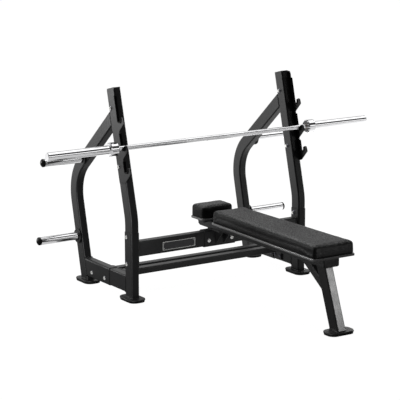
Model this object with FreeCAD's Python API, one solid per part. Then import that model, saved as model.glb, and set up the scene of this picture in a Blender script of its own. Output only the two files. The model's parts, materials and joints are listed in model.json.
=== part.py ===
import FreeCAD, Part
import math
import os

# Olympic bench press with its bar in the middle hooks.
# Millimetres, +Z up, floor at z = 0. X runs along the bar, the bench foot end is towards -Y.
# While a piece is made, Y is measured from the middle of the two front posts; save() then
# moves it so that the whole object is centred on the origin.

V = FreeCAD.Vector

# ---- frame tubes -------------------------------------------------------------------------
tube_w = 50.0           # width along X of posts, uprights, struts and leg
tube_d = 76.0           # depth of the same tubes, front to back
tube_wall = 3.0
tube_corner = 8.0       # outer corner radius
plug_fit = 0.3          # gap all round between an end plug and the inside of its tube
sleeve_wall = 2.8       # wall of the slip-over sleeves
slip = 0.2              # gap all round between a tube and its slip-over sleeve
side_x = 582.0          # middle of each side frame
side_out = side_x + tube_w / 2
side_in = side_x - tube_w / 2

foot_len, foot_wid, foot_corner = 168.0, 106.0, 42.0
foot_rubber = 10.0
foot_plate = 8.0
foot_top = foot_rubber + foot_plate
rubber_inset = 3.0      # the rubber pad stays this far inside the edge of its plate

# ---- uprights ----------------------------------------------------------------------------
lean = math.radians(14.5)        # uprights lean to the rear above the kink
kink_z = 469.0                   # where the two centre lines of an upright meet
kink_bend = 300.0                # bend radius of the centre line
upright_top = 1199.0             # height of the centre line at the cut end
post_joint = 286.0               # the lower post and the upright meet inside the post sleeve
post_sleeve_z = (180.0, 398.0)
sleeve_bolt_z = (213.0, 371.0)
sleeve_bolt_y = 10.0
cap_lid_t, cap_plug_len = 3.0, 18.0    # end cap of an upright

# ---- rear struts -------------------------------------------------------------------------
strut_lean = math.radians(13.5)  # lower run, from vertical
arm_rise = math.radians(41.0)    # upper arm, from horizontal
strut_corner = (659.7, 615.4)    # where the centre lines of the two runs meet (y, z)
strut_bend = 240.0
arm_len = 640.0                  # long enough to run into the upright, where it is cut

# ---- side rails --------------------------------------------------------------------------
rail_h = 100.0
rail_z = 43.0                    # underside of the front stub
rail_seam = 217.0                # front end of the slip-over rear rail
stub_end = 452.0                 # rear end of the stub, hidden inside the rear rail
rail_bolt_y = (264.0, 414.0)
rail_bolt_z = 76.0

# ---- cross members -----------------------------------------------------------------------
cross_d, cross_z0, cross_z1 = 50.0, 255.0, 345.0
low_d, low_z0, low_z1 = 50.0, 100.0, 140.0
low_front_y = (140.0, 222.0)     # front faces of the two lower crossbars
end_plate_t, end_plate_corner = 8.0, 6.0
end_plate_z = (52.0, 142.0)
end_plate_reach = 12.0           # an end plate stands out this far beyond its crossbar
end_screw_y = ((140.0, 190.0), (228.0,))   # screws of the front and rear end plates
saddle_half = 106.0              # half length of the centre sleeve on the upper crossbar
saddle_wall = 4.8
saddle_bolt_x, saddle_bolt_z = 79.0, 290.0
shelf_len, shelf_t = 74.0, 6.0   # the shelf of the centre sleeve, under the beam
gusset_x, gusset_t = 28.0, 6.0
gusset_foot_z, gusset_len = 262.0, 70.0
name_plate_x = (-395.0, -170.0)
name_plate_z = (269.0, 323.0)
name_plate_t, name_plate_corner = 2.0, 5.0

# ---- bench -------------------------------------------------------------------------------
beam_w, beam_h, beam_z = 100.0, 50.0, 350.0
beam_front, beam_rear = -1104.0, 128.0
beam_heel = math.radians(35.0)   # the underside slopes up at the head end
beam_heel_run = 18.0
beam_cap_low_corner = 11.0       # the end cap is rounder at its two lower corners
beam_cap_t, beam_plug_len = 8.0, 20.0
leg_lean = math.radians(20.8)
leg_foot_y = -1172.0             # centre line of the leg where it meets its foot plate
leg_plate_y = -1180.0
brace_w, brace_h, brace_corner = 40.0, 46.0, 6.0
brace_drop = math.radians(34.4)
brace_top_y = -893.0             # centre line of the brace at the underside of the beam
leg_w = 55.0                     # the leg tube is a little wider than the others
pad_top = 490.0
pad_corner, pad_edge = 20.0, 20.0   # corner radius in plan, rounding of the top edges
main_pad_y = (-1140.0, -106.0)
main_pad_w = (275.0, 226.0)      # width at the front end and at the head end
head_pad_y = (-12.0, 124.0)
head_pad_w = (217.0, 217.0)
board_lip = 3.0                  # the covered board stands out under the cushion all round
board_t, board_edge = 12.0, 3.0
bracket_t = 4.0
bracket_y = (12.0, -165.0, -600.0, -1040.0)
bracket_len, bracket_wid = 218.0, 70.0
pad_screw_x, pad_screw_dy = 98.0, 18.0

# ---- hook plates -------------------------------------------------------------------------
plate_t = 6.0
plate_lead = 14.0                # front edge of the plate ahead of the front face of the tube
plate_rear_inset = 14.0          # rear edge of the plate ahead of the rear face of the tube
seat_z = (1018.0, 864.0, 740.0)  # plate seats, from the top hook down
pocket_w = 35.0                  # width of a pocket in the plate, at its seat
lip_rise, lip_t = 36.0, 18.0
lip_nose, nose_drop = 11.0, 28.0
hook_drop = 46.0                 # from a seat down to where the hook runs back into the edge
plate_bottom = 688.0
liner_t, liner_w = 4.0, 16.0
plate_bolt_z = (1089.0, 766.0)
plate_bolt_back = 9.0

# ---- storage pegs ------------------------------------------------------------------------
peg_r, peg_wall, peg_len = 24.0, 3.0, 248.0
peg_root_t = 12.0                # solid end of a peg, drilled for its bolt
peg_cap_rim, peg_cap_dome = 10.0, 12.0
flange_r, flange_t = 42.5, 10.0
peg_low_z = 267.0
peg_arm_run = 52.0               # upper peg: distance up the arm from the end of the bend

# ---- bar ---------------------------------------------------------------------------------
bar_r = 14.0
bar_half = 1100.0
collar_in, collar_w, collar_r = 655.0, 53.0, 39.5
collar_bevel, sleeve_bevel = 6.0, 1.5
sleeve_r, bore_r = 25.0, 16.5
journal_r = 12.5
running = 0.04                   # radial running clearance of a bush on the journal
bush_len = 40.0
bar_gap = 0.3                    # the bar clears its seat by this much
end_cap_t, end_cap_lip = 8.0, 2.0
ring_w, ring_depth = 2.2, 1.0    # groove of the snap ring: width and depth

# ---- fasteners ---------------------------------------------------------------------------
bolt_r, hole_r = 5.9, 6.2
bolt_head_r, bolt_head_h = 11.0, 7.0
nut_flats, nut_h = 18.0, 10.0
thread_over = 2.0                # a bolt stands out of its nut by this much
screw_r, screw_hole_r = 4.0, 4.2
screw_head_r, screw_head_h = 8.0, 5.0
screw_len = 14.0

y_origin = 281.33                # moves the finished pieces so that their box is centred


# ==== helpers =============================================================================
def save(name, shape):
    """Write one node as a STEP file, in the frame of the whole object."""
    moved = shape.copy()
    moved.translate(V(0, y_origin, 0))
    moved.exportStep(os.path.join("parts", name + ".step"))


def mirrored(shape):
    """The same piece on the +X side."""
    return shape.mirror(V(0, 0, 0), V(1, 0, 0))


def save_pair(name, shape):
    save(name + "_left", shape)
    save(name + "_right", mirrored(shape))


def box(x0, x1, y0, y1, z0, z1):
    return Part.makeBox(x1 - x0, y1 - y0, z1 - z0, V(x0, y0, z0))


def outline(corners):
    """A closed wire through corners (point, radius), each rounded by an arc."""
    count = len(corners)
    ins, mids, outs = [], [], []
    for i, (point, radius) in enumerate(corners):
        back = (corners[i - 1][0] - point).normalize()
        ahead = (corners[(i + 1) % count][0] - point).normalize()
        half = back.getAngle(ahead) / 2
        if radius < 0.01:
            ins.append(point)
            mids.append(None)
            outs.append(point)
            continue
        run = radius / math.tan(half)
        inward = (back + ahead).normalize()
        centre = point + inward * (radius / math.sin(half))
        ins.append(point + back * run)
        mids.append(centre - inward * radius)
        outs.append(point + ahead * run)
    edges = []
    for i in range(count):
        if mids[i] is not None:
            edges.append(Part.Arc(ins[i], mids[i], outs[i]).toShape())
        start, end = outs[i], ins[(i + 1) % count]
        if start.distanceToPoint(end) > 0.001:
            edges.append(Part.makeLine(start, end))
    return Part.Wire(edges)


def rounded_rect(width, depth, radius):
    """A rounded rectangle wire in the XY plane, centred on the origin."""
    w, d = width / 2, depth / 2
    corners = (V(-w, -d, 0), V(w, -d, 0), V(w, d, 0), V(-w, d, 0))
    return outline([(corner, radius) for corner in corners])


def yz_plate(corners, x0, x1):
    """A flat plate cut from a YZ outline of (y, z, radius) corners, from x0 to x1."""
    wire = outline([(V(x0, y, z), r) for y, z, r in corners])
    return Part.Face(wire).extrude(V(x1 - x0, 0, 0))


def bar_of(width, depth, radius, length):
    """A solid rounded bar along +Z from the origin."""
    return Part.Face(rounded_rect(width, depth, radius)).extrude(V(0, 0, length))


def tube(width, depth, length, wall=tube_wall, radius=tube_corner):
    """A hollow rounded tube along +Z from the origin."""
    core = bar_of(width - 2 * wall, depth - 2 * wall, radius - wall, length + 2)
    core.translate(V(0, 0, -1))
    return bar_of(width, depth, radius, length).cut(core)


def along_x(shape):
    """Turn a piece made along +Z so that it runs along +X; its depth stays along Y."""
    turned = shape.copy()
    turned.rotate(V(0, 0, 0), V(0, 1, 0), 90)
    return turned


def along_y(shape):
    """Turn a piece made along +Z so that it runs along +Y; its depth becomes its height."""
    turned = shape.copy()
    turned.rotate(V(0, 0, 0), V(1, 0, 0), -90)
    return turned


def placed(shape, x, y, z):
    moved = shape.copy()
    moved.translate(V(x, y, z))
    return moved


def leaned(shape, angle, x, y, z):
    """Tilt a piece made along +Z towards +Y by angle, then put its origin at the point."""
    turned = shape.copy()
    turned.rotate(V(0, 0, 0), V(1, 0, 0), -math.degrees(angle))
    turned.translate(V(x, y, z))
    return turned


def swept(path, wire_at_start):
    """A solid made by sweeping a wire along a path in a YZ plane."""
    return path.makePipeShell([wire_at_start], True, False)


def bent_path(x, start, corner, end, radius):
    """Straight, arc, straight through (y, z) points, with the arc at the corner."""
    a, b, c = [V(x, y, z) for y, z in (start, corner, end)]
    back, ahead = (a - b).normalize(), (c - b).normalize()
    half = back.getAngle(ahead) / 2
    run = radius / math.tan(half)
    inward = (back + ahead).normalize()
    centre = b + inward * (radius / math.sin(half))
    arc = Part.Arc(b + back * run, centre - inward * radius, b + ahead * run).toShape()
    return Part.Wire([Part.makeLine(a, b + back * run), arc, Part.makeLine(b + ahead * run, c)])


def bent_tube(x, start, corner, end, radius, angle):
    """A bent tube; angle is the lean of its first run towards +Y."""
    path = bent_path(x, start, corner, end, radius)
    solids = []
    for wall in (0.0, tube_wall):
        wire = rounded_rect(tube_w - 2 * wall, tube_d - 2 * wall, tube_corner - wall)
        solids.append(swept(path, leaned(wire, angle, x, start[0], start[1])))
    return solids[0].cut(solids[1])


def x_round(radius, x0, x1, y, z):
    """A round bar or drill along X, from x0 to x1."""
    return Part.makeCylinder(radius, x1 - x0, V(x0, y, z), V(1, 0, 0))


def x_hole(radius, y, z):
    """A drill through everything along X."""
    return x_round(radius, -1500, 1500, y, z)


def hex_prism(flats, height):
    """A hexagonal prism along +Z from the origin."""
    corner = flats / 2 / math.cos(math.pi / 6)
    points = []
    for i in range(7):
        turn = i * math.pi / 3
        points.append(V(corner * math.cos(turn), corner * math.sin(turn), 0))
    return Part.Face(Part.makePolygon(points)).extrude(V(0, 0, height))


def button_bolt(length, radius=bolt_r, head_r=bolt_head_r, head_h=bolt_head_h):
    """A button head bolt along +Z: the head is below z = 0 and the shank runs up."""
    head = Part.makeCylinder(head_r, head_h, V(0, 0, -head_h))
    rim = [e for e in head.Edges if abs(e.BoundBox.ZMax + head_h) < 0.01 and e.Length > head_r]
    head = head.makeFillet(head_h * 0.6, rim)
    socket = placed(hex_prism(head_r * 0.75, head_h * 0.6), 0, 0, -head_h)
    return head.cut(socket).fuse(Part.makeCylinder(radius, length)).removeSplitter()


def small_screw():
    return button_bolt(screw_len, screw_r, screw_head_r, screw_head_h)


def hex_nut(bore_radius=bolt_r + 0.1, flats=nut_flats, height=nut_h):
    """A nut along +Z from the origin, with its outer corners turned off."""
    blank = hex_prism(flats, height)
    turned = Part.makeCone(flats * 0.62, flats * 0.5, height)
    bore = Part.makeCylinder(bore_radius, height + 2, V(0, 0, -1))
    return blank.common(turned).cut(bore)


def group(shapes):
    return Part.makeCompound(shapes)


def plugged(lid, width, height, length):
    """An end cap along +Z: a lid from z = 0 up and a plug that fits inside the tube."""
    shrink = 2 * (tube_wall + plug_fit)
    plug = bar_of(width - shrink, height - shrink, tube_corner - tube_wall, length)
    return lid.fuse(placed(plug, 0, 0, -length)).removeSplitter()


# ==== shared geometry of the side frame ====================================================
slope = math.tan(lean)


def mid_y(z):
    """Centre line of an upright above its bend."""
    return (z - kink_z) * slope


def front_y(z):
    """Front face of an upright above its bend."""
    return mid_y(z) - tube_d / 2 / math.cos(lean)


def edge_y(z):
    """Front edge of a hook plate."""
    return front_y(z) - plate_lead


def rear_y(z):
    return mid_y(z) + tube_d / 2 / math.cos(lean)


def strut_y(z):
    """Centre line of the lower run of a rear strut."""
    return strut_corner[0] - (strut_corner[1] - z) * math.tan(strut_lean)


arm_dir = (-math.cos(arm_rise), math.sin(arm_rise))
arm_start = strut_bend * math.tan((math.pi / 2 - arm_rise + strut_lean) / 2)
upper_peg = tuple(c + d * (arm_start + peg_arm_run) for c, d in zip(strut_corner, arm_dir))
lower_peg = (strut_y(peg_low_z), peg_low_z)
seat_front = [edge_y(z) - pocket_w for z in seat_z]      # lip side of each pocket
bar_y = seat_front[1] + liner_t + 15.5
bar_z = seat_z[1] + liner_t + bar_r + bar_gap


# ==== rack ================================================================================
def end_screw_holes():
    """Holes of the end plate screws: through the plates and the inner walls of the rail."""
    spots = [y for row in end_screw_y for y in row]
    return [x_round(screw_hole_r, -side_in - 10, -side_in + 20, y, rail_bolt_z) for y in spots]


def sleeve_holes():
    return [x_hole(hole_r, sleeve_bolt_y, z) for z in sleeve_bolt_z]


def foot(x, y, turned):
    """Foot plate and rubber pad under one leg; turned puts the long side along X."""
    size = (foot_len, foot_wid) if turned else (foot_wid, foot_len)
    plate = placed(bar_of(size[0], size[1], foot_corner, foot_plate), x, y, foot_rubber)
    rubber = [side - 2 * rubber_inset for side in size]
    pad = placed(bar_of(rubber[0], rubber[1], foot_corner - rubber_inset, foot_rubber), x, y, 0)
    rim = [e for e in plate.Edges if abs(e.BoundBox.ZMin - foot_top) < 0.01]
    return plate.makeFillet(3.0, rim), pad


def make_feet():
    spots = {
        "front_left": (-side_x, 0, False),
        "front_right": (side_x, 0, False),
        "rear_left": (-side_x, strut_y(foot_top) - 4, False),
        "rear_right": (side_x, strut_y(foot_top) - 4, False),
        "leg": (0, leg_plate_y, True),
    }
    pads = []
    for name, (x, y, turned) in spots.items():
        plate, pad = foot(x, y, turned)
        save("foot_plate_" + name, plate)
        pads.append(pad)
    save("foot_rubber_pads", group(pads))


def make_posts():
    post = placed(tube(tube_w, tube_d, post_joint - 1 - foot_top), -side_x, 0, foot_top)
    save_pair("front_post", post.cut(sleeve_holes()[0]))
    out_w, out_d = tube_w + 2 * (slip + sleeve_wall), tube_d + 2 * (slip + sleeve_wall)
    height = post_sleeve_z[1] - post_sleeve_z[0]
    cover = tube(out_w, out_d, height, sleeve_wall, tube_corner + slip + sleeve_wall)
    cover = placed(cover, -side_x, 0, post_sleeve_z[0])
    save_pair("post_sleeve", cover.cut(group(sleeve_holes())))


def make_uprights():
    top = (mid_y(upright_top), upright_top)
    body = bent_tube(-side_x, (0, post_joint), (0, kink_z), top, kink_bend, 0)
    drills = [sleeve_holes()[1]]
    drills += [x_hole(hole_r, mid_y(z) + plate_bolt_back, z) for z in plate_bolt_z]
    save_pair("upright", body.cut(group(drills)))
    cap = plugged(bar_of(tube_w, tube_d, tube_corner, cap_lid_t), tube_w, tube_d, cap_plug_len)
    cap = leaned(cap, lean, -side_x, top[0], top[1])
    save("upright_caps", group([cap, mirrored(cap)]))


def hook_corners():
    """Outline of a hook plate, up the rear edge and down the front edge."""
    top_front = upright_top + tube_d / 2 * math.sin(lean)
    top_rear = upright_top - tube_d / 2 * math.sin(lean)
    tip = top_front + plate_lead * math.sin(lean) * math.cos(lean)
    rear_foot = plate_bottom - (rear_y(plate_bottom) - edge_y(plate_bottom)) * slope * 0.8
    back = plate_rear_inset / math.cos(lean)
    top_rear += plate_rear_inset * math.sin(lean)
    corners = [(rear_y(rear_foot) - back, rear_foot, 8.0), (rear_y(top_rear) - back, top_rear, 8.0)]
    corners.append((edge_y(tip), tip, 20.0))
    for z, lip in zip(seat_z, seat_front):
        corners.append((edge_y(z), z, 15.0))
        corners.append((lip, z, 15.0))
        corners.append((lip, z + lip_rise, 4.0))
        corners.append((lip - lip_t, z + lip_rise, 7.0))
        corners.append((lip - lip_t - lip_nose, z + lip_rise - nose_drop, 6.0))
        if z != seat_z[-1]:
            corners.append((edge_y(z - hook_drop), z - hook_drop, 10.0))
    corners.append((edge_y(plate_bottom) + 6, plate_bottom, 12.0))
    return corners


def liner(index):
    """A plastic wear strip: down the plate's edge, across the seat and up the lip."""
    z, lip = seat_z[index], seat_front[index]
    top = (upright_top - 30, seat_z[0] - hook_drop - 12, seat_z[1] - hook_drop - 12)[index]
    back = liner_t / math.cos(lean)
    corners = [
        (edge_y(top), top, 0.5),
        (edge_y(z), z, 15.0),
        (lip, z, 15.0),
        (lip, z + lip_rise - 4, 0.5),
        (lip + liner_t, z + lip_rise - 4, 1.5),
        (lip + liner_t, z + liner_t, 15.0 - liner_t),
        (edge_y(z + liner_t) - back, z + liner_t, 15.0 - liner_t),
        (edge_y(top) - back, top, 1.5),
    ]
    middle = -side_out - plate_t / 2
    return yz_plate(corners, middle - liner_w / 2, middle + liner_w / 2)


def make_hooks():
    plate = yz_plate(hook_corners(), -side_out - plate_t, -side_out)
    drills = [x_hole(hole_r, mid_y(z) + plate_bolt_back, z) for z in plate_bolt_z]
    save_pair("hook_plate", plate.cut(group(drills)))
    save_pair("hook_liners", group([liner(i) for i in range(3)]))


def make_struts():
    arm_end = tuple(c + d * arm_len for c, d in zip(strut_corner, arm_dir))
    foot_z = foot_top - 30
    body = bent_tube(-side_x, (strut_y(foot_z), foot_z), strut_corner, arm_end, strut_bend, strut_lean)
    body = body.cut(box(-900, -300, 300, 900, -100, foot_top))
    ahead = leaned(Part.makeBox(400, 700, 1600, V(-200, tube_d / 2 - 700, -200)), lean, -side_x, 0, kink_z)
    body = body.cut(ahead)
    drills = [x_round(hole_r, -side_out - 10, -side_out + 20, y, z) for y, z in (lower_peg, upper_peg)]
    save_pair("rear_strut", body.cut(group(drills)))


def make_rails():
    drills = group([x_hole(hole_r, y, rail_bolt_z) for y in rail_bolt_y] + end_screw_holes())
    behind = Part.makeBox(400, 700, 900, V(-200, -tube_d / 2, -200))
    behind = leaned(behind, strut_lean, -side_x, strut_y(0), 0)
    middle = rail_z + rail_h / 2
    stub = along_y(tube(tube_w, rail_h, stub_end - tube_d / 2))
    stub = placed(stub, -side_x, tube_d / 2, middle)
    save_pair("rail_stub", stub.cut(drills))
    grow = 2 * (slip + sleeve_wall)
    cover = along_y(tube(tube_w + grow, rail_h + grow, 400, sleeve_wall, tube_corner + slip + sleeve_wall))
    cover = placed(cover, -side_x, rail_seam, middle)
    save_pair("rear_rail", cover.cut(drills).cut(behind))


def saddle_holes():
    """Holes of the two bolts through the centre sleeve and the upper crossbar."""
    spots = (-saddle_bolt_x, saddle_bolt_x)
    return group([Part.makeCylinder(hole_r, 200, V(x, -100, saddle_bolt_z), V(0, 1, 0)) for x in spots])


def end_plate(y0, y1, x0, x1):
    """The plate that closes one end of a lower crossbar and is screwed to the rail."""
    z0, z1 = end_plate_z
    low, high = y0 - end_plate_reach, y1 + end_plate_reach
    corners = ((low, z0), (high, z0), (high, z1), (low, z1))
    return yz_plate([(y, z, end_plate_corner) for y, z in corners], x0, x1)


def make_crossbars():
    """Returns the screws of the end plates."""
    reach = side_in - slip - sleeve_wall
    middle = (cross_z0 + cross_z1) / 2
    bar = tube(cross_z1 - cross_z0, cross_d, 2 * reach)
    bar = placed(along_x(bar), -reach, 0, middle)
    save("upper_crossbar", bar.cut(saddle_holes()))
    face = -cross_d / 2
    plate = box(*name_plate_x, face - name_plate_t, face, *name_plate_z)
    corners = [e for e in plate.Edges if e.BoundBox.YLength > name_plate_t - 0.1]
    save("name_plate", plate.makeFillet(name_plate_corner, corners))
    plates, screws = [], []
    holes = group([x_hole(hole_r, rail_bolt_y[0], rail_bolt_z)] + end_screw_holes())
    for name, y0, inner, screw_y in (
        ("front", low_front_y[0], side_in, end_screw_y[0]),
        ("rear", low_front_y[1], side_in - slip - sleeve_wall, end_screw_y[1]),
    ):
        half = inner - end_plate_t
        run = along_x(tube(low_z1 - low_z0, low_d, 2 * half))
        save("lower_crossbar_" + name, placed(run, -half, y0 + low_d / 2, (low_z0 + low_z1) / 2))
        plates.append(end_plate(y0, y0 + low_d, -inner, -half).cut(holes))
        for y in screw_y:
            screw = small_screw()
            screw.rotate(V(0, 0, 0), V(0, 1, 0), -90)
            screws.append(placed(screw, -half, y, rail_bolt_z))
    save("crossbar_end_plates", group(plates + [mirrored(p) for p in plates]))
    return screws + [mirrored(s) for s in screws]


def make_side_bolts():
    """Through bolts of the side frames: heads outside, nuts inside."""
    def through(y, z, outer, inner):
        bolt = placed(along_x(button_bolt(outer - inner + nut_h + thread_over)), -outer, y, z)
        nut = placed(along_x(hex_nut()), -inner, y, z)
        return bolt, nut

    outer = side_out + slip + sleeve_wall
    inner = side_in - slip - sleeve_wall
    plate_face = side_out + plate_t
    sets = {
        "post_sleeve_bolts": [through(sleeve_bolt_y, z, outer, inner) for z in sleeve_bolt_z],
        "rail_bolts": [
            through(rail_bolt_y[0], rail_bolt_z, outer, inner - end_plate_t),
            through(rail_bolt_y[1], rail_bolt_z, outer, inner),
        ],
        "hook_plate_bolts": [
            through(mid_y(z) + plate_bolt_back, z, plate_face, side_in) for z in plate_bolt_z
        ],
    }
    nuts = []
    for name, pairs in sets.items():
        bolts = [bolt for bolt, nut in pairs]
        save(name, group(bolts + [mirrored(b) for b in bolts]))
        nuts += [nut for bolt, nut in pairs]
    saddle_bolts = []
    reach = cross_d / 2 + slip + saddle_wall
    for x in (-saddle_bolt_x, saddle_bolt_x):
        bolt = along_y(button_bolt(2 * reach + nut_h + thread_over))
        saddle_bolts.append(placed(bolt, x, -reach, saddle_bolt_z))
        nuts.append(placed(along_y(hex_nut()), x, reach, saddle_bolt_z))
    save("saddle_bolts", group(saddle_bolts))
    side_nuts = nuts[:-2]
    save("frame_nuts", group(nuts + [mirrored(n) for n in side_nuts]))


def make_pegs():
    pegs = {"lower": lower_peg, "upper": upper_peg}
    flanges, caps, bolts = [], [], []
    for name, (y, z) in pegs.items():
        root = -side_out - flange_t
        end = root - peg_len
        hollow = x_round(peg_r - peg_wall, end - 1, root - peg_root_t, y, z)
        hole = x_round(hole_r, root - 40, root + 40, y, z)
        save_pair("storage_peg_" + name, x_round(peg_r, end, root, y, z).cut(hollow).cut(hole))
        flange = x_round(flange_r, root, -side_out, y, z)
        rim = [e for e in flange.Edges if abs(e.BoundBox.XMax - root) < 0.01]
        flanges.append(flange.makeFillet(3.0, rim).cut(hole))
        tip = end - peg_cap_rim - peg_cap_dome
        ball_r = (peg_r ** 2 + peg_cap_dome ** 2) / (2 * peg_cap_dome)
        dome = Part.makeSphere(ball_r, V(tip + ball_r, y, z)).common(x_round(peg_r, tip, end, y, z))
        plug = x_round(peg_r - peg_wall - 0.1, end, end + 20, y, z)
        caps.append(dome.fuse(plug).removeSplitter())
        grip = peg_root_t + flange_t + tube_wall
        bolt = placed(along_x(button_bolt(grip + nut_h + thread_over)), root - peg_root_t, y, z)
        nut = placed(along_x(hex_nut()), -side_out + tube_wall, y, z)
        bolts += [bolt, nut]
    for name, shapes in (("peg_flanges", flanges), ("peg_end_caps", caps), ("peg_bolts", bolts)):
        save(name, group(shapes + [mirrored(s) for s in shapes]))


# ==== bench ===============================================================================
def make_saddle():
    inner_d, inner_h = cross_d + 2 * slip, cross_z1 - cross_z0 + 2 * slip
    middle = (cross_z0 + cross_z1) / 2
    outer_d, outer_h = inner_d + 2 * saddle_wall, inner_h + 2 * saddle_wall
    corner = tube_corner + slip + saddle_wall
    wrap = along_x(tube(outer_h, outer_d, 2 * saddle_half, saddle_wall, corner))
    wrap = placed(wrap, -saddle_half, 0, middle)
    front = -outer_d / 2
    shelf = box(-beam_w / 2, beam_w / 2, front - shelf_len, front, beam_z - shelf_t, beam_z)
    # The ribs run a little into the sleeve and the shelf, so that all of it is one welded solid.
    sunk_y, sunk_z = front + 0.5, beam_z - shelf_t + 1
    corners = ((sunk_y, gusset_foot_z, 0), (sunk_y, sunk_z, 0), (front - gusset_len, sunk_z, 0))
    ribs = [yz_plate(corners, x - gusset_t / 2, x + gusset_t / 2) for x in (-gusset_x, gusset_x)]
    body = wrap.fuse([shelf] + ribs).removeSplitter()
    save("saddle_bracket", body.cut(saddle_holes()))


def make_beam():
    beam = along_y(tube(beam_w, beam_h, beam_rear - beam_front))
    beam = placed(beam, 0, beam_front, beam_z + beam_h / 2)
    heel = Part.makeBox(200, 80, 80, V(-100, 0, -80))
    heel.rotate(V(0, 0, 0), V(1, 0, 0), math.degrees(beam_heel))
    heel.translate(V(0, beam_rear - beam_heel_run, beam_z))
    save("bench_beam", beam.cut(heel))
    middle = beam_z + beam_h / 2
    w, h = beam_w / 2, beam_h / 2
    low, high = beam_cap_low_corner, tube_corner
    rim = outline([(V(-w, -h, 0), low), (V(w, -h, 0), low), (V(w, h, 0), high), (V(-w, h, 0), high)])
    lid = Part.Face(rim).extrude(V(0, 0, beam_cap_t))
    nose = [e for e in lid.Edges if e.BoundBox.ZMin > beam_cap_t - 0.1]
    cap = plugged(lid.makeFillet(3.0, nose), beam_w, beam_h, beam_plug_len)
    cap.rotate(V(0, 0, 0), V(1, 0, 0), 90)
    save("beam_front_cap", placed(cap, 0, beam_front, middle))
    # The rear end is closed by a bare plug, set in beyond the sloped part of the underside.
    shrink = 2 * (tube_wall + plug_fit)
    plug = bar_of(beam_w - shrink, beam_h - shrink, tube_corner - tube_wall, beam_plug_len)
    save("beam_rear_plug", placed(along_y(plug), 0, beam_rear - 2 * beam_plug_len, middle))


def leg_y(z):
    return leg_foot_y + (z - foot_top) * math.tan(leg_lean)


def make_leg():
    low = foot_top - 30
    leg = leaned(tube(leg_w, tube_d, 460), leg_lean, 0, leg_y(low), low)
    leg = leg.cut(box(-100, 100, -1400, -900, -100, foot_top))
    leg = leg.cut(box(-100, 100, -1400, -700, beam_z, beam_z + 300))
    save("bench_leg", leg)
    brace = tube(brace_w, brace_h, 330, tube_wall, brace_corner)
    brace.translate(V(0, 0, -60))
    brace.rotate(V(0, 0, 0), V(1, 0, 0), 90 + math.degrees(brace_drop))
    brace.translate(V(0, brace_top_y, beam_z))
    brace = brace.cut(box(-100, 100, -1400, -600, beam_z, beam_z + 300))
    ahead = Part.makeBox(200, 500, 900, V(-100, tube_d / 2 - 500, -200))
    save("leg_brace", brace.cut(leaned(ahead, leg_lean, 0, leg_y(0), 0)))


def tapered(front_w, rear_w, y0, y1, radius, height):
    """A slab whose width changes evenly from its front end to its rear end."""
    a, b = front_w / 2, rear_w / 2
    corners = (V(-a, y0, 0), V(a, y0, 0), V(b, y1, 0), V(-b, y1, 0))
    return Part.Face(outline([(corner, radius) for corner in corners])).extrude(V(0, 0, height))


def make_pads():
    """Returns the screws that hold the brackets to the boards."""
    beam_top = beam_z + beam_h
    sides, rows = (-pad_screw_x, pad_screw_x), (-pad_screw_dy, pad_screw_dy)
    brackets, screws, spots = [], [], []
    for y in bracket_y:
        plate = placed(bar_of(bracket_len, bracket_wid, 8.0, bracket_t), 0, y, beam_top)
        for x, dy in [(x, dy) for x in sides for dy in rows]:
            plate = plate.cut(Part.makeCylinder(screw_hole_r, 40, V(x, y + dy, beam_top - 20)))
            screws.append(placed(small_screw(), x, y + dy, beam_top))
            spots.append((x, y + dy))
        brackets.append(plate)
    save("pad_brackets", group(brackets))
    base = beam_top + bracket_t
    for name, (y0, y1), (front_w, rear_w) in (
        ("main", main_pad_y, main_pad_w),
        ("head", head_pad_y, head_pad_w),
    ):
        grow, ends = 2 * board_lip, (y0 - board_lip, y1 + board_lip)
        board = tapered(front_w + grow, rear_w + grow, *ends, pad_corner + board_lip, board_t)
        rims = [e for e in board.Edges if e.BoundBox.ZLength < 0.01]
        board = board.makeFillet(board_edge, rims)
        holes = [Part.makeCylinder(screw_hole_r, screw_len, V(x, y, base - 2)) for x, y in spots]
        save(name + "_pad_board", placed(board, 0, 0, base).cut(group(holes)))
        height = pad_top - base - board_t
        cushion = tapered(front_w, rear_w, y0, y1, pad_corner, height)
        rim = [e for e in cushion.Edges if e.BoundBox.ZMin > height - 0.01]
        cushion = cushion.makeFillet(pad_edge, rim)
        save(name + "_pad", placed(cushion, 0, 0, base + board_t))
    return screws


# ==== bar =================================================================================
def bar_round(radius, x0, x1):
    """A round piece on the axis of the bar."""
    return x_round(radius, x0, x1, bar_y, bar_z)


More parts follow.
